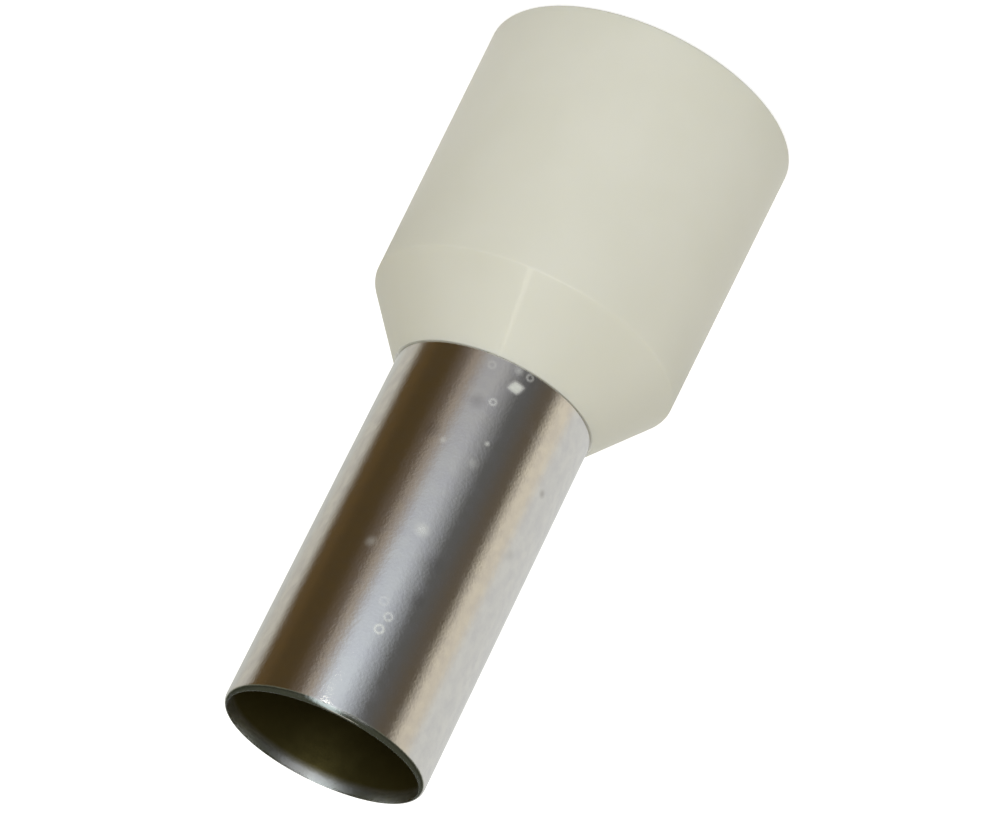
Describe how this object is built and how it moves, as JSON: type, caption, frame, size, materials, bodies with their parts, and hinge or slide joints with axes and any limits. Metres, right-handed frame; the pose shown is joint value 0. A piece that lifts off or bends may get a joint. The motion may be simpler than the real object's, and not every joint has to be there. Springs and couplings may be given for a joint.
{
  "type": "wire ferrule",
  "caption": "Insulated wire end ferrule: a tinned crimp tube with a flared end, held in an ivory plastic collar with a conical shoulder.",
  "frame": {"origin": "centre of the collar's mouth, on the axis", "axes": "+Z along the axis, from the collar's mouth up to the tube's tip; X and Y are any two directions across it"},
  "size_m": [0.0098, 0.0098, 0.0228],
  "materials": {
    "tinned_copper": "satin tin plating on drawn copper",
    "ivory_plastic": "smooth moulded, ivory"
  },
  "bodies": {
    "root": {"conductor_tube": "tinned_copper", "insulating_collar": "ivory_plastic"}
  },
  "joints": []
}
